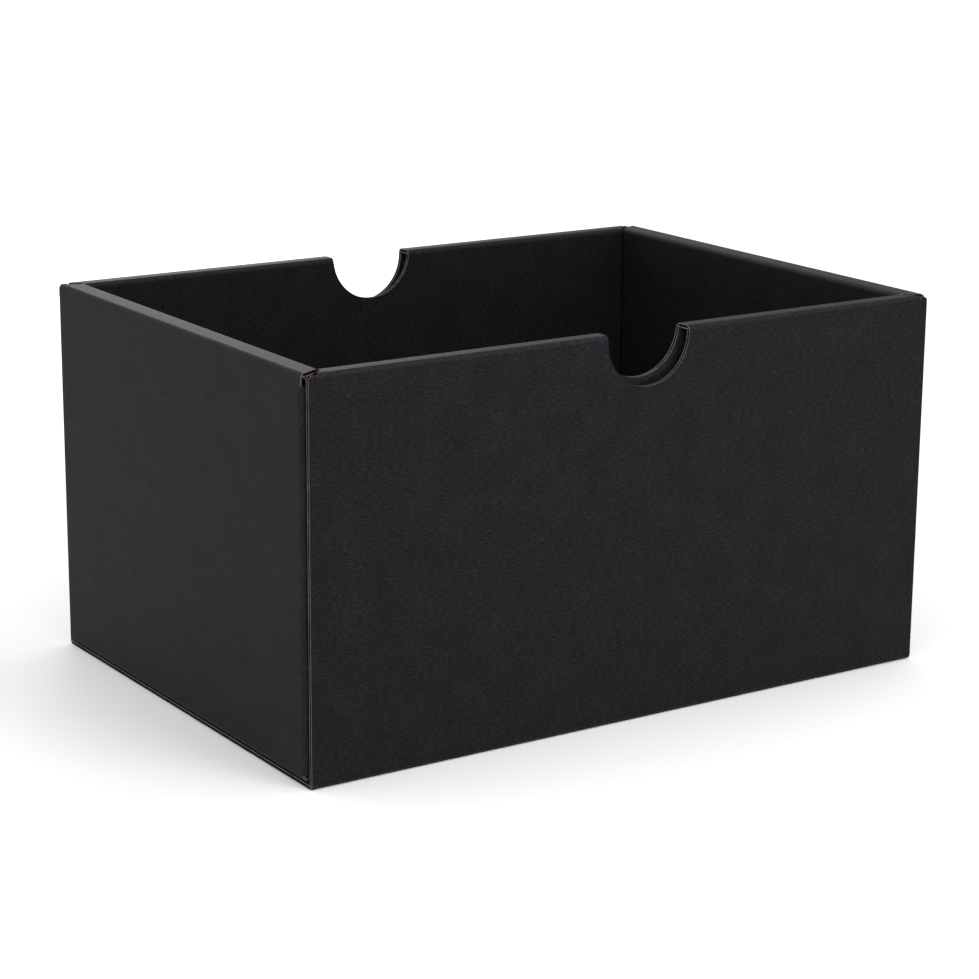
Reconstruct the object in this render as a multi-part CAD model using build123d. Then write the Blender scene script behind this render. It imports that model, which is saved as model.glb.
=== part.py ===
from build123d import *
import os

# A rectangular open-top tray box folded from two crossing corrugated blanks.
# Blank A is the outer floor with the two long walls.  Blank B lies across it: the inner
# floor, the two end walls and their corner flaps.  Every wall rolls over a narrow top strip
# and comes down again as an inner wall, so all four walls are double.
# Each panel between two creases is one solid.  Millimetres, +Z up, origin at the centre of
# the underside, +X along the long side, front wall towards -Y.

# Driving dimensions
LENGTH = 320.0          # of the outer floor and the long outer walls, along X
DEPTH = 228.0           # outside, along Y
HEIGHT = 172.0
BOARD = 3.0             # B-flute corrugated board
FOLD_RADIUS = 2.2       # outside radius of a folded crease
LONG_WALL = 9.4         # outer face to inner face of the double long wall
END_WALL = 11.5         # the same for the double end wall
END_PROUD = 1.6         # how far an end wall stands out past the long wall's cut edge
LAYER_GAP = 0.2         # free play of a corner flap on each side
SIDE_GAP = 0.3          # free play beside and under an inner wall
CREASE_GAP = 0.1        # open slit of a crease, along Z
NOTCH_RADIUS = 21.2     # thumb notch in both long walls, a half round with upright flanks
NOTCH_FLANK = 2.6       # height of those flanks in the outer wall
NOTCH_OFFSET = 4.6      # the front notch sits this far towards +X; the back one is central
FLAP_LENGTH = 72.0      # corner flap, from its crease to its free edge
FLAP_FOOT = 1.0         # free play under a corner flap
FLAP_SHOULDER = 5.6     # a corner flap's crease stops this far below the rim
FLAP_DROP = 19.5        # how much lower a flap's free end is than its crease end
FLAP_CORNER = 8.0       # radius of a flap's free corners
STRIP_TAPER = 6.4       # a long top strip's ends slant in by this much
STRIP_SETBACK = 3.8     # a long top strip's outer corner, in from the cut edge
END_SHOULDER = 3.4      # an end wall's shoulder and strip, in from the long wall's outer face

# Derived places
FLOOR_B = BOARD                                     # underside of blank B
FLOOR_TOP = 2 * BOARD                               # the surface that things stand on
END_FACE = LENGTH / 2 + END_PROUD                   # outer face of an end wall
END_INSIDE = END_FACE - END_WALL
LONG_INSIDE = DEPTH / 2 - LONG_WALL
B_HALF_WIDTH = DEPTH / 2 - BOARD - LAYER_GAP        # blank B across Y
NOTCH_DEPTH = LONG_WALL + 2 * BOARD                 # cutter, longer than the wall is thick
RIM = HEIGHT - CREASE_GAP

# Turn about Z and distance that take the canonical wall (outer face at y = 0, inward +Y) to a side
SIDES = {
    "front": (0, DEPTH / 2),
    "right": (90, END_FACE),
    "back": (180, DEPTH / 2),
    "left": (270, END_FACE),
}


def on_side(side, shape):
    angle, distance = SIDES[side]
    return Rot(0, 0, angle) * Pos(0, -distance, 0) * shape


def rounded(sketch, a, b, inward_a, inward_b):
    """Rounds a fold's outside corner at (a, b); inward_a and inward_b are +1 or -1."""
    reach = FOLD_RADIUS / 2
    square = Pos(a + inward_a * reach, b + inward_b * reach) * Rectangle(FOLD_RADIUS, FOLD_RADIUS)
    disc = Pos(a + inward_a * FOLD_RADIUS, b + inward_b * FOLD_RADIUS) * Circle(FOLD_RADIUS)
    return sketch - (square - disc)


def along_x(section, length):
    """Extrudes a section drawn in Y and Z, centred on X = 0."""
    return extrude(Plane.YZ * section, amount=length / 2, both=True)


def outline(*points):
    return Polygon(*points, align=None)


def outer_wall_section(bottom, mitred_bottom):
    lift = CREASE_GAP + BOARD if mitred_bottom else 0
    foot = bottom + CREASE_GAP if mitred_bottom else bottom
    section = outline((0, foot), (0, RIM), (BOARD, RIM - BOARD), (BOARD, bottom + lift))
    section = rounded(section, 0, HEIGHT, 1, -1)
    return rounded(section, 0, bottom, 1, 1) if mitred_bottom else section


def strip_section(width):
    section = outline((0, HEIGHT), (width, HEIGHT), (width - BOARD, HEIGHT - BOARD), (BOARD, HEIGHT - BOARD))
    section = rounded(section, 0, HEIGHT, 1, -1)
    return rounded(section, width, HEIGHT, -1, -1)


def inner_wall_section(width):
    foot = FLOOR_TOP + SIDE_GAP
    section = outline((width - BOARD, foot), (width, foot), (width, RIM), (width - BOARD, RIM - BOARD))
    return rounded(section, width, HEIGHT, -1, -1)


def tapered_strip(width, outer_half, inner_half):
    """A top strip whose ends slant, so that neighbouring strips clear each other at a corner."""
    plan = outline((-outer_half, 0), (outer_half, 0), (inner_half, width), (-inner_half, width))
    return along_x(strip_section(width), 2 * outer_half) & extrude(plan, amount=HEIGHT)


def thumb_notch(side, flank):
    """The cutter for a notch whose round part is centred a flank's height below the rim."""
    shift = NOTCH_OFFSET if side == "front" else 0
    centre = HEIGHT - flank
    round_part = Pos(shift, LONG_WALL / 2, centre) * Cylinder(NOTCH_RADIUS, NOTCH_DEPTH, rotation=(90, 0, 0))
    block = Box(2 * NOTCH_RADIUS, NOTCH_DEPTH, NOTCH_RADIUS, align=(Align.CENTER, Align.CENTER, Align.MIN))
    return round_part + Pos(shift, LONG_WALL / 2, centre) * block


def long_outer_wall(side):
    return along_x(outer_wall_section(BOARD, False), LENGTH) - thumb_notch(side, NOTCH_FLANK)


def long_strip(side):
    outer_half = LENGTH / 2 - STRIP_SETBACK
    return tapered_strip(LONG_WALL, outer_half, outer_half - STRIP_TAPER) - thumb_notch(side, NOTCH_FLANK)


def long_inner_wall(side):
    return along_x(inner_wall_section(LONG_WALL), 2 * (END_INSIDE - SIDE_GAP)) - thumb_notch(side, 0)


def end_outer_wall():
    """Full width up to the flaps' shoulders, narrower above, with round vertical folds."""
    wall = along_x(outer_wall_section(FLOOR_B, True), 2 * B_HALF_WIDTH)
    plan = Pos(0, BOARD / 2) * Rectangle(2 * B_HALF_WIDTH, BOARD)
    plan = rounded(plan, -B_HALF_WIDTH, 0, 1, 1)
    plan = rounded(plan, B_HALF_WIDTH, 0, -1, 1)
    shoulder_half = DEPTH / 2 - END_SHOULDER
    spare = B_HALF_WIDTH - shoulder_half
    shoulder = Box(spare, BOARD, FLAP_SHOULDER, align=(Align.CENTER, Align.MIN, Align.MAX))
    wall &= extrude(plan, amount=HEIGHT)
    for sign in (-1, 1):
        wall -= Pos(sign * (shoulder_half + spare / 2), 0, HEIGHT) * shoulder
    return wall


def end_strip():
    return tapered_strip(END_WALL, DEPTH / 2 - END_SHOULDER, LONG_INSIDE - SIDE_GAP)


def end_inner_wall():
    return along_x(inner_wall_section(END_WALL), 2 * (LONG_INSIDE - SIDE_GAP))


def corner_flap(along, side):
    """A flap in the front (side -1) or back (+1) wall, from the left (along -1) or right end."""
    root = END_FACE - BOARD
    tip = root - FLAP_LENGTH
    foot = FLOOR_TOP + FLAP_FOOT
    top = HEIGHT - FLAP_SHOULDER
    shape = outline((root, foot), (root, top), (tip, top - FLAP_DROP), (tip, foot))
    shape = fillet(shape.vertices().group_by(Axis.X)[0], FLAP_CORNER)
    panel = extrude(Plane.XZ * shape, amount=BOARD)
    panel = Pos(0, B_HALF_WIDTH, 0) * panel
    if along < 0:
        panel = panel.mirror(Plane.YZ)
    return panel if side > 0 else panel.mirror(Plane.XZ)


def outer_floor():
    """The outer floor, with the round folds that it shares with the long walls."""
    section = rounded(Pos(0, BOARD / 2) * Rectangle(DEPTH, BOARD), -DEPTH / 2, 0, 1, 1)
    return along_x(rounded(section, DEPTH / 2, 0, -1, 1), LENGTH)


def inner_floor():
    """The inner floor; its ends are mitred where the end walls fold up."""
    inner = END_FACE - BOARD
    section = outline((-END_FACE, FLOOR_B), (END_FACE, FLOOR_B), (inner, FLOOR_TOP), (-inner, FLOOR_TOP))
    section = rounded(section, -END_FACE, FLOOR_B, 1, 1)
    section = rounded(section, END_FACE, FLOOR_B, -1, 1)
    return extrude(Plane.XZ * section, amount=B_HALF_WIDTH, both=True)


def halves(strip, side, names):
    """The notch cuts a long strip in two; the halves are named from left to right."""
    pieces = sorted(on_side(side, strip).solids(), key=lambda piece: piece.center().X)
    return dict(zip(names, pieces))


def all_nodes():
    nodes = {"outer_floor": outer_floor(), "inner_floor": inner_floor()}
    for side in ("front", "back"):
        nodes[f"{side}_outer_wall"] = on_side(side, long_outer_wall(side))
        nodes.update(halves(long_strip(side), side, (f"{side}_strip_left", f"{side}_strip_right")))
        nodes[f"{side}_inner_wall"] = on_side(side, long_inner_wall(side))
    for side, along in (("left", -1), ("right", 1)):
        nodes[f"{side}_outer_wall"] = on_side(side, end_outer_wall())
        nodes[f"{side}_strip"] = on_side(side, end_strip())
        nodes[f"{side}_inner_wall"] = on_side(side, end_inner_wall())
        nodes[f"{side}_front_flap"] = corner_flap(along, -1)
        nodes[f"{side}_back_flap"] = corner_flap(along, 1)
    return nodes


os.makedirs("parts", exist_ok=True)
for name, shape in all_nodes().items():
    shape.label = name
    export_step(shape, os.path.join("parts", f"{name}.step"))
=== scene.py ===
from functools import partial, reduce
from math import cos, radians, sin, tau
import bmesh
import bpy
import numpy as np
from mathutils import Matrix, Vector


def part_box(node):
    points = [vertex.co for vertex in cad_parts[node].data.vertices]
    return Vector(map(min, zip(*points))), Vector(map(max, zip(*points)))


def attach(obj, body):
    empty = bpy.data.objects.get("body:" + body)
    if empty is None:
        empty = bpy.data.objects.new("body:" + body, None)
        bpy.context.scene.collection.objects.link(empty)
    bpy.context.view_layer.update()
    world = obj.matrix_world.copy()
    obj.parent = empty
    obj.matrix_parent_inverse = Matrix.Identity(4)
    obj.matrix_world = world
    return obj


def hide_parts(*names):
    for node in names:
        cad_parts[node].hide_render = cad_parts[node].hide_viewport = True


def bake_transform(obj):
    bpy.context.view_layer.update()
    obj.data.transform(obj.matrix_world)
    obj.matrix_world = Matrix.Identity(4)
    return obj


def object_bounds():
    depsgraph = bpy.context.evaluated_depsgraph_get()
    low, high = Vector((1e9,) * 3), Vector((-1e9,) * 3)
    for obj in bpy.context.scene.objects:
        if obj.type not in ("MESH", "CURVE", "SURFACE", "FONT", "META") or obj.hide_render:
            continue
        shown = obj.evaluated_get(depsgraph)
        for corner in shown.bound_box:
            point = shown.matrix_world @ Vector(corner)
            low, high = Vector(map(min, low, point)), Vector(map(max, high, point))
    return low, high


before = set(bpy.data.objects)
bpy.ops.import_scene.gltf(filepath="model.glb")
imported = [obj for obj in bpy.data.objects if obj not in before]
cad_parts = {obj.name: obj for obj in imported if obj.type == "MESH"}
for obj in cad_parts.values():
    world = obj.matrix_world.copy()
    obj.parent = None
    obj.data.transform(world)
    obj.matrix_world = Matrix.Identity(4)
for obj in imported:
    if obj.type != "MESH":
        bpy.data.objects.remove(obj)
cad_low, cad_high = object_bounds()

# A tray box of black corrugated board.  Every panel is real three-layer board: two paper
# liners with a wavy fluting glued between them, crushed thin where the board is creased.
# The outer liner goes round each crease as a curved fold.  Metres, in the CAD frame.
#
# Board coordinates: u runs across the flutes, v along them and w from the outer liner
# inwards.  Wall coordinates: x along the wall, y inward from its outer face and z up.
# A crease is (at_u, position, start, stop): it lies at that u, or else at that v, and runs
# from start to stop along the other one.

MM = 0.001
FAR = 1.0                       # farther than anything on the box
ALL_ALONG = (-FAR, FAR)         # start and stop of a crease as long as its panel

# Places taken from the frame
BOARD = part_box("outer_floor")[1].z
HALF_LENGTH, HALF_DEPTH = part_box("outer_floor")[1].xy
HEIGHT = cad_high.z
END_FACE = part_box("right_outer_wall")[1].x
FLOOR_B, B_HALF_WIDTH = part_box("inner_floor")[0].z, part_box("inner_floor")[1].y
LONG_WALL = HALF_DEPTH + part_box("front_inner_wall")[1].y
END_WALL = END_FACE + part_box("left_inner_wall")[1].x
LONG_LINING_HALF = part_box("front_inner_wall")[1].x
END_LINING_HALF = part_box("left_inner_wall")[1].y
LINING_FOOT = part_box("front_inner_wall")[0].z
FLAP_LOW, FLAP_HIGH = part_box("left_front_flap")
FLAP_TIP = FLAP_HIGH.x + END_FACE

# The board
LINER = 0.32 * MM
FLUTE_PAPER = 0.24 * MM
FLUTE_PITCH = 6.3 * MM
FLUTE_SAMPLES = 14
GLUE = 0.01 * MM                # between two papers, and the tolerance of comparisons
WELD = GLUE / 5                 # points closer than this are one point
SHARP_ANGLE = 40                # degrees between faces that don't shade as one

# The folds
FOLD_RADIUS = 2.2 * MM
FOLD_EDGE = 0.4 * MM            # flat margin of a fold piece, past its round
FOLD_STEPS = 10
FOLD_REACH = FOLD_RADIUS + FOLD_EDGE
CRUSH_REACH = 1.25 * MM         # the crushed layers stop this far from a crease
CRUSH_STATIONS = (BOARD, FOLD_RADIUS, 1.7 * MM)     # where a section bends beside a crease
SLIT = 0.06 * MM                # half the slit between two mitred panels

# The cut-outs and free ends
NOTCH_RADIUS = 21.2 * MM
NOTCH_FLANK = 2.6 * MM          # upright flanks of an outer wall's notch
NOTCH_OFFSET = {"front": 4.6 * MM, "back": 0.0}      # along the wall, off its middle
NOTCH_STEPS = 48
CUT_BOARD = 1.8 * MM            # board pressed by the die: notches, ends of blank A and of top strips
CUT_REACH = (0.5 * MM, 1.2 * MM, 2.4 * MM)     # stations away from such an edge, up to the full board
LONG_STRIP_HALF = 156.2 * MM    # a long top strip's outer corner
LONG_TAPER = (LONG_STRIP_HALF - LONG_LINING_HALF) / LONG_WALL
STRIP_POINT = 0.05 * MM         # width of the blunt points that a strip's layers end in
END_STRIP_HALF = HALF_DEPTH - 3.4 * MM     # an end wall's shoulder and its top strip's outer corner
END_TAPER = (END_STRIP_HALF - END_LINING_HALF) / END_WALL
RAW_TOP_DROP = 0.7 * MM         # a long wall's bare top corner below the rim
RAW_CORNER = 1.8 * MM           # round of that corner
SHOULDER_STEP = 0.2 * MM        # width of the step from crushed to full board
FLAP_CORNER = 8.0 * MM
FLAP_DROP = 19.5 * MM
FLAP_BEND = 0.93 * FLAP_DROP    # where the lower end of a flap's slope starts to round off
CORNER_STEPS = 6

# Turn about Z in degrees, and distance, of each wall's outer face
SIDES = {
    "front": (0, HALF_DEPTH),
    "right": (90, END_FACE),
    "back": (180, HALF_DEPTH),
    "left": (270, END_FACE),
}

# The papers: material slots, and colours for a rising amount of light fibres. The fluting slot's colours are
# kraft darkened as painted shade of the hollows inside the board
LINER_PAINT, CUT_PAINT, FLUTE_SHADE_PAINT = 0, 1, 2
LINER_TONES = (
    (0.33, (0.0036, 0.0033, 0.0043)),
    (0.50, (0.0080, 0.0075, 0.0094)),
    (0.70, (0.0190, 0.0179, 0.0214)),
)
CUT_TONES = ((0.35, (0.080, 0.061, 0.052)), (0.50, (0.160, 0.126, 0.109)), (0.68, (0.300, 0.243, 0.212)))
# painted shade: the fluting and the liners' faces inside the board get kraft made far darker than the cut
# edges, standing in for the shade in the board's hollows
FLUTE_SHADE_TONES = ((0.35, (0.004, 0.003, 0.002)), (0.50, (0.010, 0.007, 0.005)), (0.68, (0.028, 0.019, 0.013)))
LINER_FIBRES = (420, 1500, 1)   # noise per metre, across and along the flutes
LINER_GRAIN = 1900.0
LINER_CLOUDS = 60.0
KRAFT_FIBRES = (900, 1500, 1)
KRAFT_CLOUDS = 140.0
LINER_GLOSS = 0.07              # specular level
KRAFT_GLOSS = 0.2

# The studio.  Directions are azimuth, 0 in front on the -Y side, and elevation, in degrees
LENS, SENSOR = 100.7, 36        # millimetres
CAMERA_DIRECTION = (-33.50, 14.83)
CAMERA_DISTANCE = 1.2625
CAMERA_ROLL = 0.45
CAMERA_AIM = (0.1 * MM, 0.0, -7.9 * MM)     # from the box's centre
SOFT_LIGHTS = {                 # direction, distance, size and power
    "front": ((6, 34), 0.64, 0.30, 1.1),
    "side": ((-62, 48), 0.80, 0.45, 0.5),
    "rim": ((160, 19), 1.20, 0.50, 2.4),
}
SKY_LIGHT = 1.10
STUDIO_FLOOR_HALF = 4.0


def points(x, y, z):
    """Coordinates, joined into an array of points."""
    return np.stack(np.broadcast_arrays(x, y, z), -1)


def wall_point(side, x, y, z):
    """Wall coordinates of one side, as points in the frame."""
    angle, distance = SIDES[side]
    c, s = cos(radians(angle)), sin(radians(angle))
    inward = y - distance
    return points(c * x - s * inward, s * x + c * inward, z)


class Shells:
    """The closed thin shells that one piece is made of."""

    def __init__(self):
        self.points, self.flat, self.wear, self.faces, self.paints = [], [], [], [], []
        self.count = 0

    def add(self, low, high, flat, wear, paints):
        """A shell between two grids of points; flat is each grid point's place on the blank.

        paints are those of the low side, the high side and the cut edge.
        """
        rows, columns = low.shape[:2]
        lift = rows * columns
        below = self.count + np.arange(lift).reshape(rows, columns)
        ring = np.concatenate([below[:-1, 0], below[-1, :-1], below[:0:-1, -1], below[0, :0:-1]])
        after = np.roll(ring, -1)
        quads = np.stack([below[:-1, :-1], below[:-1, 1:], below[1:, 1:], below[1:, :-1]], -1).reshape(-1, 4)
        cut_edge = np.stack([ring, after, after + lift, ring + lift], -1)
        for faces, paint in zip((quads, quads[:, ::-1] + lift, cut_edge), paints):
            self.faces.append(faces)
            self.paints.append(np.full(len(faces), paint))
        for grid in (low, high):
            self.points.append(grid.reshape(-1, 3))
            self.flat.append(flat.reshape(-1, 3))
            self.wear.append(np.broadcast_to(wear, low.shape[:2]).ravel())
        self.count += 2 * lift

    def mesh(self, name):
        data = bpy.data.meshes.new(name)
        data.from_pydata(np.concatenate(self.points), [], np.concatenate(self.faces).tolist())
        data.polygons.foreach_set("material_index", np.concatenate(self.paints))
        flat = data.attributes.new("flat", "FLOAT_VECTOR", "POINT")
        flat.data.foreach_set("vector", np.concatenate(self.flat).astype(np.float32).ravel())
        wear = data.attributes.new("wear", "FLOAT", "POINT")
        wear.data.foreach_set("value", np.concatenate(self.wear).astype(np.float32))
        work = bmesh.new()
        work.from_mesh(data)
        bmesh.ops.remove_doubles(work, verts=work.verts, dist=WELD)
        bmesh.ops.recalc_face_normals(work, faces=work.faces)
        for face in work.faces:
            face.smooth = True
        work.to_mesh(data)
        work.free()
        data.set_sharp_from_angle(angle=radians(SHARP_ANGLE))
        return data


def finish_piece(name, shells):
    data = shells.mesh(name)
    for material in PAPERS:
        data.materials.append(material)
    piece = bpy.data.objects.new(name, data)
    bpy.context.scene.collection.objects.link(piece)
    return piece


def crease_distance(creases, u, v):
    """How far each point lies from the nearest crease."""
    distance = np.full(u.shape, FAR)
    for at_u, position, start, stop in creases:
        coordinate, along = (u, v) if at_u else (v, u)
        beside = (along >= start - GLUE) & (along <= stop + GLUE)
        distance = np.where(beside, np.minimum(distance, np.abs(coordinate - position)), distance)
    return distance


def crush_marks(crease, into):
    """Stations beside a crease, on the side of it that into (+1 or -1) points to."""
    return [crease + into * distance for distance in CRUSH_STATIONS]


def fallen_short(distance, radius):
    """How far a rounded corner falls short of the square one, at a distance in from the end."""
    past = np.clip(radius - distance, 0, radius)
    return radius - np.sqrt(radius ** 2 - past ** 2)


def corner_steps(radius):
    """Distances in from the end that follow such a corner evenly."""
    return radius * (1 - np.cos(np.linspace(0, tau / 4, CORNER_STEPS + 1)))


def merged(start, stop, *sets):
    """All the values between start and stop, in order, both ends included."""
    values = np.concatenate([np.ravel(s) for s in sets] + [[start, stop]])
    return np.unique(np.round(values[(values >= start) & (values <= stop)], 7))


def full_board(u, v):
    return np.full_like(u, BOARD)


def pressed_board(distance):
    """Thickness of the board at a distance from an edge that the die has pressed."""
    away = np.clip(distance / CUT_REACH[-1], 0, 1)
    return CUT_BOARD + (BOARD - CUT_BOARD) * np.sin(away * tau / 4)


def board_panel(
    name, body, place, reach_u, span, marks_u=(), marks_v=(), creases=(), flat=lambda u, v: (u, v),
    thickness=full_board, below_top=(), above_bottom=(),
):
    """One panel of board, standing for the CAD node of that name.

    place(u, v, w) gives points in the frame, reach_u(reach) the panel's range across the
    flutes and span(u, reach) its range along them, where reach is how far a layer stays
    back from the creases.  marks_u and marks_v are extra stations, and below_top and
    above_bottom more of them, in from the ends of the range along the flutes.
    """
    shells = Shells()

    def grid(reach, fine=False):
        start, stop = reach_u(reach)
        step_u = FLUTE_PITCH / FLUTE_SAMPLES
        regular = np.arange(np.ceil(start / step_u), np.floor(stop / step_u) + 1) * step_u
        column = merged(start, stop, marks_u, regular if fine else [])
        low, high = span(column, reach)
        rows = [low, high] + [np.clip(mark, low, high) for mark in marks_v]
        rows += [np.maximum(high - step, low) for step in below_top]
        rows += [np.minimum(low + step, high) for step in above_bottom]
        v = np.sort(np.stack(rows, -1), axis=-1)
        u = np.broadcast_to(column[:, None], v.shape)
        return u, v, crease_distance(creases, u, v)

    def add(u, v, low, high, *paints):
        shells.add(place(u, v, low), place(u, v, high), points(*flat(u, v), 0.0), 0.0, paints)

    u, v, _ = grid(FOLD_REACH)
    # the liners' faces towards the fluting, and the fluting itself, take the kraft darkened with painted
    # shade of the hollows
    add(u, v, 0.0, LINER, LINER_PAINT, FLUTE_SHADE_PAINT, CUT_PAINT)
    u, v, distance = grid(CRUSH_REACH)
    inside = np.minimum(thickness(u, v), distance - SLIT)
    add(u, v, inside - LINER, inside, FLUTE_SHADE_PAINT, LINER_PAINT, CUT_PAINT)
    u, v, distance = grid(CRUSH_REACH, fine=True)
    floor = fallen_short(distance, FOLD_RADIUS) + LINER + GLUE
    roof = np.minimum(thickness(u, v), distance - SLIT) - LINER - GLUE
    swing = np.maximum(roof - floor - FLUTE_PAPER, 0) / 2
    middle = (roof + floor) / 2 + swing * np.sin(tau * u / FLUTE_PITCH)
    add(u, v, middle - FLUTE_PAPER / 2, middle + FLUTE_PAPER / 2, FLUTE_SHADE_PAINT, FLUTE_SHADE_PAINT, FLUTE_SHADE_PAINT)
    piece = finish_piece(f"{name}.board", shells)
    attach(piece, body)
    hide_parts(name)


def fold(name, bodies, place, corner, leave, arrive, ends, flat):
    """The outer liner round a crease, from one panel (leave) to the next (arrive).

    place(x, p, q) gives points in the frame from the length x and the section's p and q;
    corner is the sharp corner of the section, leave and arrive the directions away from it
    along the two panels, and ends(p, q) the range of x.
    """
    corner, leave, arrive = (np.array(a, float) for a in (corner, leave, arrive))
    turn = np.concatenate([[0], np.linspace(0, tau / 4, FOLD_STEPS + 1), [tau / 4]])
    outward = -(np.cos(turn)[:, None] * arrive + np.sin(turn)[:, None] * leave)
    centre = np.tile(corner + FOLD_RADIUS * (leave + arrive), (len(turn), 1))
    centre[0] += FOLD_EDGE * leave
    centre[-1] += FOLD_EDGE * arrive
    outer = centre + FOLD_RADIUS * outward
    inner = centre + (FOLD_RADIUS - LINER) * outward
    x = np.stack(ends(outer[:, 0], outer[:, 1]), -1)
    travel = np.concatenate([[0], np.cumsum(np.linalg.norm(np.diff(outer, axis=0), axis=1))])
    spot = points(*flat(x, travel[:, None] - travel[-1] / 2), 0.0)
    wear = np.repeat(np.sin(2 * turn)[:, None], 2, axis=1)
    shells = Shells()
    low = place(x, outer[:, :1], outer[:, 1:])
    high = place(x, inner[:, :1], inner[:, 1:])
    # the liner's inside face takes the kraft darkened with painted shade of the hollows
    shells.add(low, high, spot, wear, (LINER_PAINT, FLUTE_SHADE_PAINT, CUT_PAINT))
    piece = finish_piece(name, shells)
    if len(bodies) == 1:
        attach(piece, bodies[0])
        return
    middle = float(np.mean(x))
    start = place(middle, *(corner + FOLD_RADIUS * leave))
    end = place(middle, *(corner + FOLD_RADIUS * arrive))
    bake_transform(piece)


def notch_edge(side, u, flank):
    """Height of the thumb notch's edge in a wall, far above the wall beside the notch."""
    off = np.abs(u - NOTCH_OFFSET[side])
    drop = flank + np.sqrt(np.clip(NOTCH_RADIUS ** 2 - off ** 2, 0, None))
    return np.where(off < NOTCH_RADIUS, HEIGHT - drop, FAR)


def notch_distance(side, flank, u, v):
    """How far a point of the wall lies from the thumb notch's edge."""
    down = np.maximum(HEIGHT - flank - v, 0)
    return np.hypot(u - NOTCH_OFFSET[side], down) - NOTCH_RADIUS


def notch_columns(side):
    """Columns over the notch, close together at its steep flanks, and some beside each flank."""
    arc = NOTCH_RADIUS * np.sin(np.linspace(-tau / 4, tau / 4, NOTCH_STEPS + 1))
    edge = NOTCH_RADIUS - GLUE
    beside = NOTCH_RADIUS + np.array((0.0,) + CUT_REACH)
    return NOTCH_OFFSET[side] + np.concatenate([np.clip(arc, -edge, edge), beside, -beside])


def long_outer_wall(side):
    """Floor crease at the bottom, rim crease at the top except over its bare corners."""
    top_end = LONG_STRIP_HALF + SHOULDER_STEP

    def span(u, reach):
        bare = HEIGHT - RAW_TOP_DROP - fallen_short(HALF_LENGTH - np.abs(u), RAW_CORNER)
        top = np.where(np.abs(u) < top_end - GLUE, HEIGHT - reach, bare)
        return np.full_like(u, reach), np.minimum(top, notch_edge(side, u, NOTCH_FLANK))

    def thickness(u, v):
        return pressed_board(np.minimum(notch_distance(side, NOTCH_FLANK, u, v), HALF_LENGTH - np.abs(u)))

    ends = np.concatenate([HALF_LENGTH - corner_steps(RAW_CORNER), HALF_LENGTH - np.array(CUT_REACH)])
    ends = np.concatenate([ends, [LONG_STRIP_HALF, top_end]])
    board_panel(
        f"{side}_outer_wall", "tray", lambda u, v, w: wall_point(side, u, w, v),
        lambda reach: (-HALF_LENGTH, HALF_LENGTH), span,
        np.concatenate([notch_columns(side), ends, -ends]), crush_marks(HEIGHT, -1) + crush_marks(0.0, 1),
        [(False, HEIGHT, -LONG_STRIP_HALF, LONG_STRIP_HALF), (False, 0.0, *ALL_ALONG)],
        thickness=thickness, below_top=CUT_REACH,
    )


def long_strip(side, half):
    """Half of a long wall's top strip, from the notch to the corner, with its two folds."""
    sign = 1 if (half == "right") == (side == "front") else -1
    near = NOTCH_RADIUS + sign * NOTCH_OFFSET[side]

    def between(start, stop):
        return (start, stop) if sign > 0 else (-stop, -start)

    def span(u, reach):
        far = (LONG_STRIP_HALF - np.abs(u)) / LONG_TAPER
        return np.full_like(u, reach), np.clip(far, reach, LONG_WALL - reach)

    def ends(y, z):
        return between(np.full_like(y, near), LONG_STRIP_HALF - LONG_TAPER * np.clip(y, 0, LONG_WALL))

    board_panel(
        f"{side}_strip_{half}", f"{side}_rim", lambda u, v, w: wall_point(side, u, v, HEIGHT - w),
        lambda reach: between(near, LONG_STRIP_HALF - LONG_TAPER * (reach + STRIP_POINT)), span,
        [sign * LONG_LINING_HALF] + [sign * (near + step) for step in CUT_REACH],
        crush_marks(0.0, 1) + crush_marks(LONG_WALL, -1),
        [(False, 0.0, *ALL_ALONG), (False, LONG_WALL, *ALL_ALONG)],
        lambda u, v: (u, HEIGHT + v), lambda u, v: pressed_board(np.abs(u) - near),
    )
    fold(
        f"{side}_rim_fold.{half}", ("tray", f"{side}_rim"), partial(wall_point, side),
        (0, HEIGHT), (0, -1), (1, 0), ends, lambda x, d: (x, HEIGHT + d),
    )
    fold(
        f"{side}_lining_fold.{half}", (f"{side}_rim", f"{side}_lining"), partial(wall_point, side),
        (LONG_WALL, HEIGHT), (-1, 0), (0, -1), ends, lambda x, d: (x, HEIGHT + LONG_WALL + d),
    )


def long_inner_wall(side):
    def span(u, reach):
        return np.full_like(u, LINING_FOOT), np.minimum(HEIGHT - reach, notch_edge(side, u, 0.0))

    board_panel(
        f"{side}_inner_wall", f"{side}_lining", lambda u, v, w: wall_point(side, u, LONG_WALL - w, v),
        lambda reach: (-LONG_LINING_HALF, LONG_LINING_HALF), span,
        notch_columns(side), crush_marks(HEIGHT, -1),
        [(False, HEIGHT, *ALL_ALONG)], lambda u, v: (u, 2 * HEIGHT + LONG_WALL - v),
        lambda u, v: pressed_board(notch_distance(side, 0.0, u, v)), CUT_REACH,
    )


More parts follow.
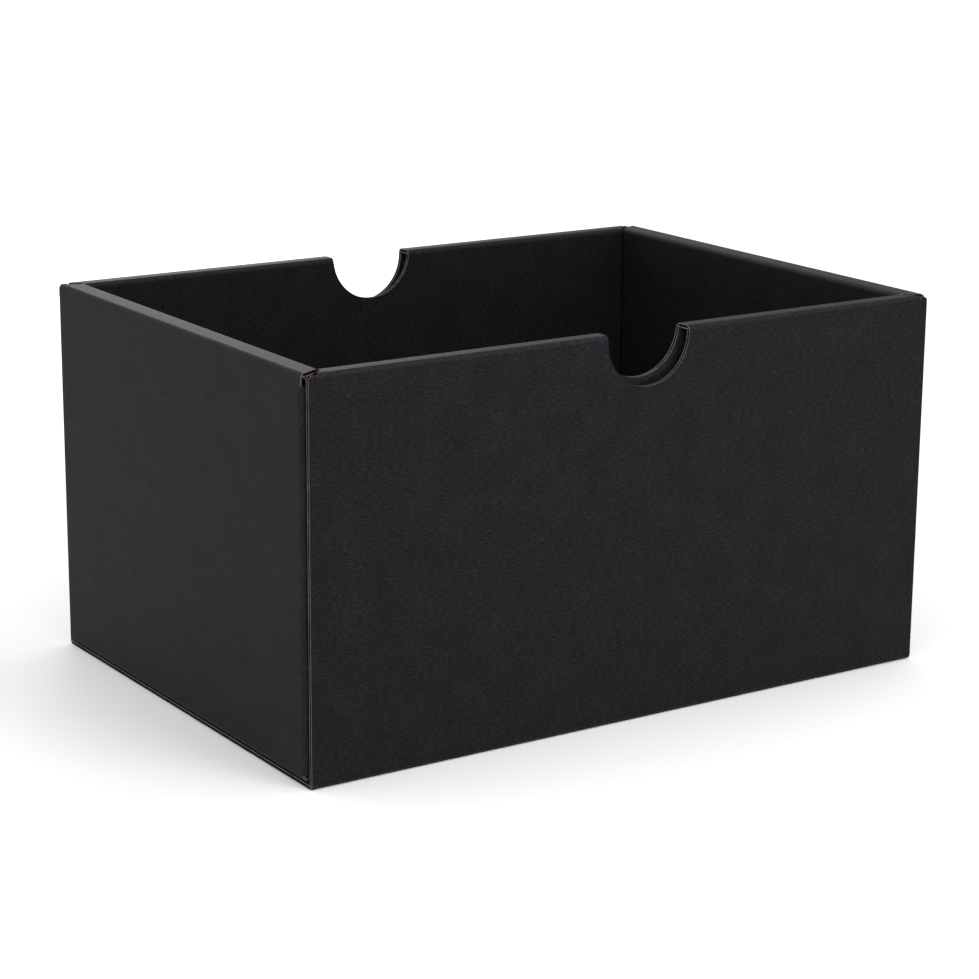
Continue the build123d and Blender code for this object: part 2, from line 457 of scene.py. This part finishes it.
def end_outer_wall(side):
    """Flutes lie along the wall; foot and rim creases, and the flaps' creases up to the shoulders."""
    shoulder = FLAP_HIGH.z

    def span(u, reach):
        half = np.where(u > shoulder + GLUE, END_STRIP_HALF, B_HALF_WIDTH - reach)
        return -half, half

    marks_u = [shoulder, shoulder + SHOULDER_STEP] + crush_marks(FLOOR_B, 1) + crush_marks(HEIGHT, -1)
    creases = [(True, FLOOR_B, *ALL_ALONG), (True, HEIGHT, *ALL_ALONG)]
    creases += [(False, sign * B_HALF_WIDTH, -FAR, shoulder) for sign in (-1, 1)]
    board_panel(
        f"{side}_outer_wall", f"{side}_end", lambda u, v, w: wall_point(side, v, w, u),
        lambda reach: (FLOOR_B + reach, HEIGHT - reach), span, marks_u,
        crush_marks(-B_HALF_WIDTH, 1) + crush_marks(B_HALF_WIDTH, -1), creases,
    )


def end_strip_half(y):
    """Half the length of an end wall's top strip, at a distance y in from the outer face."""
    return END_STRIP_HALF - END_TAPER * np.clip(y, 0, END_WALL)


def end_strip(side):
    board_panel(
        f"{side}_strip", f"{side}_rim", lambda u, v, w: wall_point(side, v, u, HEIGHT - w),
        lambda reach: (reach, END_WALL - reach), lambda u, reach: (-end_strip_half(u), end_strip_half(u)),
        crush_marks(0.0, 1) + crush_marks(END_WALL, -1), (),
        [(True, 0.0, *ALL_ALONG), (True, END_WALL, *ALL_ALONG)], lambda u, v: (HEIGHT + u, v),
        lambda u, v: pressed_board(end_strip_half(u) - np.abs(v)), CUT_REACH, CUT_REACH,
    )


def end_inner_wall(side):
    def span(u, reach):
        return np.full_like(u, -END_LINING_HALF), np.full_like(u, END_LINING_HALF)

    board_panel(
        f"{side}_inner_wall", f"{side}_lining", lambda u, v, w: wall_point(side, v, END_WALL - w, u),
        lambda reach: (LINING_FOOT, HEIGHT - reach), span, crush_marks(HEIGHT, -1), (),
        [(True, HEIGHT, *ALL_ALONG)], lambda u, v: (2 * HEIGHT + END_WALL - u, v),
    )


def end_rim_folds(side):
    """The creases on both sides of an end wall's top strip."""
    def ends(y, z):
        return -end_strip_half(y), end_strip_half(y)

    fold(
        f"{side}_rim_fold", (f"{side}_end", f"{side}_rim"), partial(wall_point, side),
        (0, HEIGHT), (0, -1), (1, 0), ends, lambda x, d: (HEIGHT + d, x),
    )
    fold(
        f"{side}_lining_fold", (f"{side}_rim", f"{side}_lining"), partial(wall_point, side),
        (END_WALL, HEIGHT), (-1, 0), (0, -1), ends, lambda x, d: (HEIGHT + END_WALL + d, x),
    )


def constant_ends(low, high):
    """The ends of a fold whose length is the same all round."""
    return lambda p, q: (np.full_like(p, low), np.full_like(p, high))


def end_foot_folds(side):
    """The crease under an end wall, and the upright creases to its two flaps."""
    half = B_HALF_WIDTH - FOLD_RADIUS / 2
    fold(
        f"{side}_foot_fold", ("tray", f"{side}_end"), partial(wall_point, side),
        (0, FLOOR_B), (1, 0), (0, 1), constant_ends(-half, half), lambda x, d: (d, x),
    )
    for flap, sign in flap_signs(side):
        fold(
            f"{side}_{flap}_corner_fold", (f"{side}_end",),
            lambda z, p, q, sign=sign: wall_point(side, sign * p, q, z),
            (B_HALF_WIDTH, 0), (-1, 0), (0, 1), constant_ends(FLOOR_B + FOLD_REACH, FLAP_HIGH.z),
            lambda z, d, sign=sign: (z, sign * (B_HALF_WIDTH + d)),
        )


def flap_signs(side):
    """The flaps' names with the end of the wall, in wall coordinates, that each is on."""
    return (("front", 1), ("back", -1)) if side == "left" else (("front", -1), ("back", 1))


def corner_flaps(side):
    """Flaps turned in from the end wall; v is the distance from the upright crease."""
    height = FLAP_HIGH.z - FLAP_LOW.z

    def span(u, reach):
        up = u - FLAP_LOW.z
        fall = (height - up) / FLAP_DROP
        slope = np.clip(fall, 0, 1) * (FLAP_TIP - BOARD) + BOARD
        tip = np.minimum(FLAP_TIP - fallen_short(up, FLAP_CORNER), slope)
        tip = np.minimum(tip, FLAP_TIP - fallen_short(height - FLAP_BEND - up, FLAP_CORNER))
        return np.full_like(u, reach), np.maximum(tip, reach + SHOULDER_STEP)

    marks_u = [FLAP_LOW.z + step for step in corner_steps(FLAP_CORNER)]
    marks_u += [FLAP_HIGH.z - FLAP_BEND - step for step in corner_steps(FLAP_CORNER)]
    for flap, sign in flap_signs(side):
        board_panel(
            f"{side}_{flap}_flap", f"{side}_end",
            lambda u, v, w, sign=sign: wall_point(side, sign * (B_HALF_WIDTH - w), v, u),
            lambda reach: (FLAP_LOW.z, FLAP_HIGH.z), span, marks_u, crush_marks(0.0, 1),
            [(False, 0.0, *ALL_ALONG)], lambda u, v, sign=sign: (u, sign * (B_HALF_WIDTH + v)),
        )


def floors():
    """Blank A's floor with its two long folds, and blank B's floor lying on it."""
    pressed = HALF_LENGTH - np.array(CUT_REACH)
    board_panel(
        "outer_floor", "tray", points, lambda reach: (-HALF_LENGTH, HALF_LENGTH),
        lambda u, reach: (np.full_like(u, reach - HALF_DEPTH), np.full_like(u, HALF_DEPTH - reach)),
        np.concatenate([pressed, -pressed]), crush_marks(-HALF_DEPTH, 1) + crush_marks(HALF_DEPTH, -1),
        [(False, -HALF_DEPTH, *ALL_ALONG), (False, HALF_DEPTH, *ALL_ALONG)],
        thickness=lambda u, v: pressed_board(HALF_LENGTH - np.abs(u)),
    )
    board_panel(
        "inner_floor", "tray", lambda u, v, w: points(u, v, FLOOR_B + w),
        lambda reach: (reach - END_FACE, END_FACE - reach),
        lambda u, reach: (np.full_like(u, -B_HALF_WIDTH), np.full_like(u, B_HALF_WIDTH)),
        crush_marks(-END_FACE, 1) + crush_marks(END_FACE, -1), (),
        [(True, -END_FACE, *ALL_ALONG), (True, END_FACE, *ALL_ALONG)],
    )
    for side in ("front", "back"):
        fold(
            f"{side}_foot_fold", ("tray",), partial(wall_point, side),
            (0, 0), (1, 0), (0, 1), constant_ends(-HALF_LENGTH, HALF_LENGTH), lambda x, d: (x, d),
        )


class Nodes:
    """A new material, and a small helper that adds its shader nodes and links them."""

    def __init__(self, name):
        self.material = bpy.data.materials.new(name)
        self.material.use_nodes = True
        self.tree = self.material.node_tree
        self.tree.nodes.clear()

    def add(self, kind, inputs=None, **settings):
        node = self.tree.nodes.new(kind)
        for key, value in settings.items():
            setattr(node, key, value)
        for key, value in (inputs or {}).items():
            if isinstance(value, bpy.types.NodeSocket):
                self.tree.links.new(value, node.inputs[key])
            else:
                node.inputs[key].default_value = value
        return node

    def attribute(self, name, output):
        return self.add("ShaderNodeAttribute", attribute_name=name).outputs[output]

    def math(self, operation, a, b=0.0):
        return self.add("ShaderNodeMath", {0: a, 1: b}, operation=operation).outputs[0]

    def weighted(self, *terms):
        """The sum of the terms, each a value and its weight."""
        return reduce(partial(self.math, "ADD"), [self.math("MULTIPLY", *term) for term in terms])

    def noise(self, vector, scale, detail=3.0, roughness=0.6):
        inputs = {"Vector": vector, "Scale": scale, "Detail": detail, "Roughness": roughness}
        return self.add("ShaderNodeTexNoise", inputs).outputs["Fac"]

    def stretched(self, vector, scale):
        """The blank's coordinates, scaled by a different amount along each of them."""
        return self.add("ShaderNodeVectorMath", {0: vector, 1: scale}, operation="MULTIPLY").outputs[0]

    def ramp(self, factor, stops):
        node = self.add("ShaderNodeValToRGB", {"Fac": factor})
        elements = node.color_ramp.elements
        while len(elements) < len(stops):
            elements.new(0.5)
        for element, (position, colour) in zip(elements, stops):
            element.position, element.color = position, (*colour, 1)
        return node.outputs["Color"]

    def bump(self, height, strength, distance):
        inputs = {"Height": height, "Strength": strength, "Distance": distance}
        return self.add("ShaderNodeBump", inputs).outputs["Normal"]

    def finish(self, inputs):
        """The material, with the shader's inputs connected or set."""
        shader = self.add("ShaderNodeBsdfPrincipled", inputs)
        self.add("ShaderNodeOutputMaterial", {"Surface": shader.outputs["BSDF"]})
        return self.material


def liner_material():
    """Black paper: fibres across the flutes, faint mottling, a washboard and rubbed creases."""
    nodes = Nodes("black_liner")
    flat = nodes.attribute("flat", "Vector")
    wear = nodes.attribute("wear", "Fac")
    fibre = nodes.noise(nodes.stretched(flat, LINER_FIBRES), 1.0, 4.0, 0.65)
    grain = nodes.noise(flat, LINER_GRAIN, 2.0, 0.5)
    cloud = nodes.noise(flat, LINER_CLOUDS, 4.0, 0.65)
    across = nodes.add("ShaderNodeSeparateXYZ", {0: flat}).outputs[0]
    washboard = nodes.math("SINE", nodes.math("MULTIPLY", across, tau / FLUTE_PITCH))
    height = nodes.weighted((washboard, 0.012), (fibre, 0.03), (grain, 0.03))
    return nodes.finish({
        "Base Color": nodes.ramp(nodes.weighted((fibre, 0.8), (cloud, 0.2), (wear, 0.10)), LINER_TONES),
        "Roughness": nodes.math("ADD", nodes.weighted((grain, 0.14)), 0.50),
        "Specular IOR Level": LINER_GLOSS,
        "Normal": nodes.bump(height, 1.0, MM),
    })


def kraft_material(name, tones):
    """Brown kraft paper, seen at the cut edges and inside the flutes; inside the flutes its tones are
    darkened as painted shade of the hollows.
    """
    nodes = Nodes(name)
    flat = nodes.attribute("flat", "Vector")
    fibre = nodes.noise(nodes.stretched(flat, KRAFT_FIBRES), 1.0, 4.0, 0.7)
    cloud = nodes.noise(flat, KRAFT_CLOUDS, 3.0, 0.6)
    return nodes.finish({
        "Base Color": nodes.ramp(nodes.weighted((fibre, 0.6), (cloud, 0.4)), tones),
        "Roughness": nodes.math("ADD", nodes.weighted((cloud, 0.15)), 0.75),
        "Specular IOR Level": KRAFT_GLOSS,
        "Normal": nodes.bump(fibre, 0.6, 0.1 * MM),
    })


def studio_floor():
    half = STUDIO_FLOOR_HALF
    corners = [(-half, -half, 0), (half, -half, 0), (half, half, 0), (-half, half, 0)]
    data = bpy.data.meshes.new("studio_floor")
    data.from_pydata(corners, [], [(0, 1, 2, 3)])
    nodes = Nodes("studio_floor")
    position = nodes.add("ShaderNodeTexCoord").outputs["Object"]
    colour = nodes.ramp(nodes.noise(position, 3.0), ((0.0, (0.93, 0.93, 0.93)), (1.0, (0.96, 0.96, 0.96))))
    data.materials.append(nodes.finish({"Base Color": colour, "Roughness": 0.9, "Specular IOR Level": 0.1}))
    floor = bpy.data.objects.new("studio_floor", data)
    bpy.context.scene.collection.objects.link(floor)


def aimed(location, target, roll=0.0):
    """A matrix that looks from location at target, with -Z forward and Y up."""
    turn = (target - location).to_track_quat("-Z", "Y").to_matrix().to_4x4()
    return Matrix.Translation(location) @ turn @ Matrix.Rotation(radians(roll), 4, "Z")


def around(target, direction, distance):
    azimuth, elevation = (radians(angle) for angle in direction)
    away = Vector((sin(azimuth) * cos(elevation), -cos(azimuth) * cos(elevation), sin(elevation)))
    return target + distance * away


def soft_light(name, direction, distance, size, power):
    data = bpy.data.lights.new(name, "AREA")
    data.shape, data.size, data.energy = "DISK", size, power
    light = bpy.data.objects.new(name, data)
    bpy.context.scene.collection.objects.link(light)
    target = (cad_low + cad_high) / 2
    light.matrix_world = aimed(around(target, direction, distance), target)


def studio():
    studio_floor()
    world = bpy.data.worlds.new("studio")
    world.use_nodes = True
    world.node_tree.nodes["Background"].inputs["Color"].default_value = (1, 1, 1, 1)
    world.node_tree.nodes["Background"].inputs["Strength"].default_value = SKY_LIGHT
    bpy.context.scene.world = world
    bpy.context.scene.view_settings.view_transform = "Standard"
    for name, settings in SOFT_LIGHTS.items():
        soft_light(name, *settings)


def camera():
    data = bpy.data.cameras.new("camera")
    data.lens, data.sensor_width = LENS, SENSOR
    data.clip_start, data.clip_end = 0.05, 20
    view = bpy.data.objects.new("camera", data)
    bpy.context.scene.collection.objects.link(view)
    target = (cad_low + cad_high) / 2 + Vector(CAMERA_AIM)
    view.matrix_world = aimed(around(target, CAMERA_DIRECTION, CAMERA_DISTANCE), target, CAMERA_ROLL)
    bpy.context.scene.camera = view


PAPERS = (
    liner_material(),
    kraft_material("kraft_cut_edge", CUT_TONES),
    # the fluting's kraft, darkened as painted shade of the board's hollows
    kraft_material("kraft_fluting_painted_shade", FLUTE_SHADE_TONES),
)
camera()
studio()
floors()
for side in ("front", "back"):
    long_outer_wall(side)
    for half in ("left", "right"):
        long_strip(side, half)
    long_inner_wall(side)
for side in ("left", "right"):
    end_outer_wall(side)
    end_strip(side)
    end_inner_wall(side)
    end_rim_folds(side)
    end_foot_folds(side)
    corner_flaps(side)
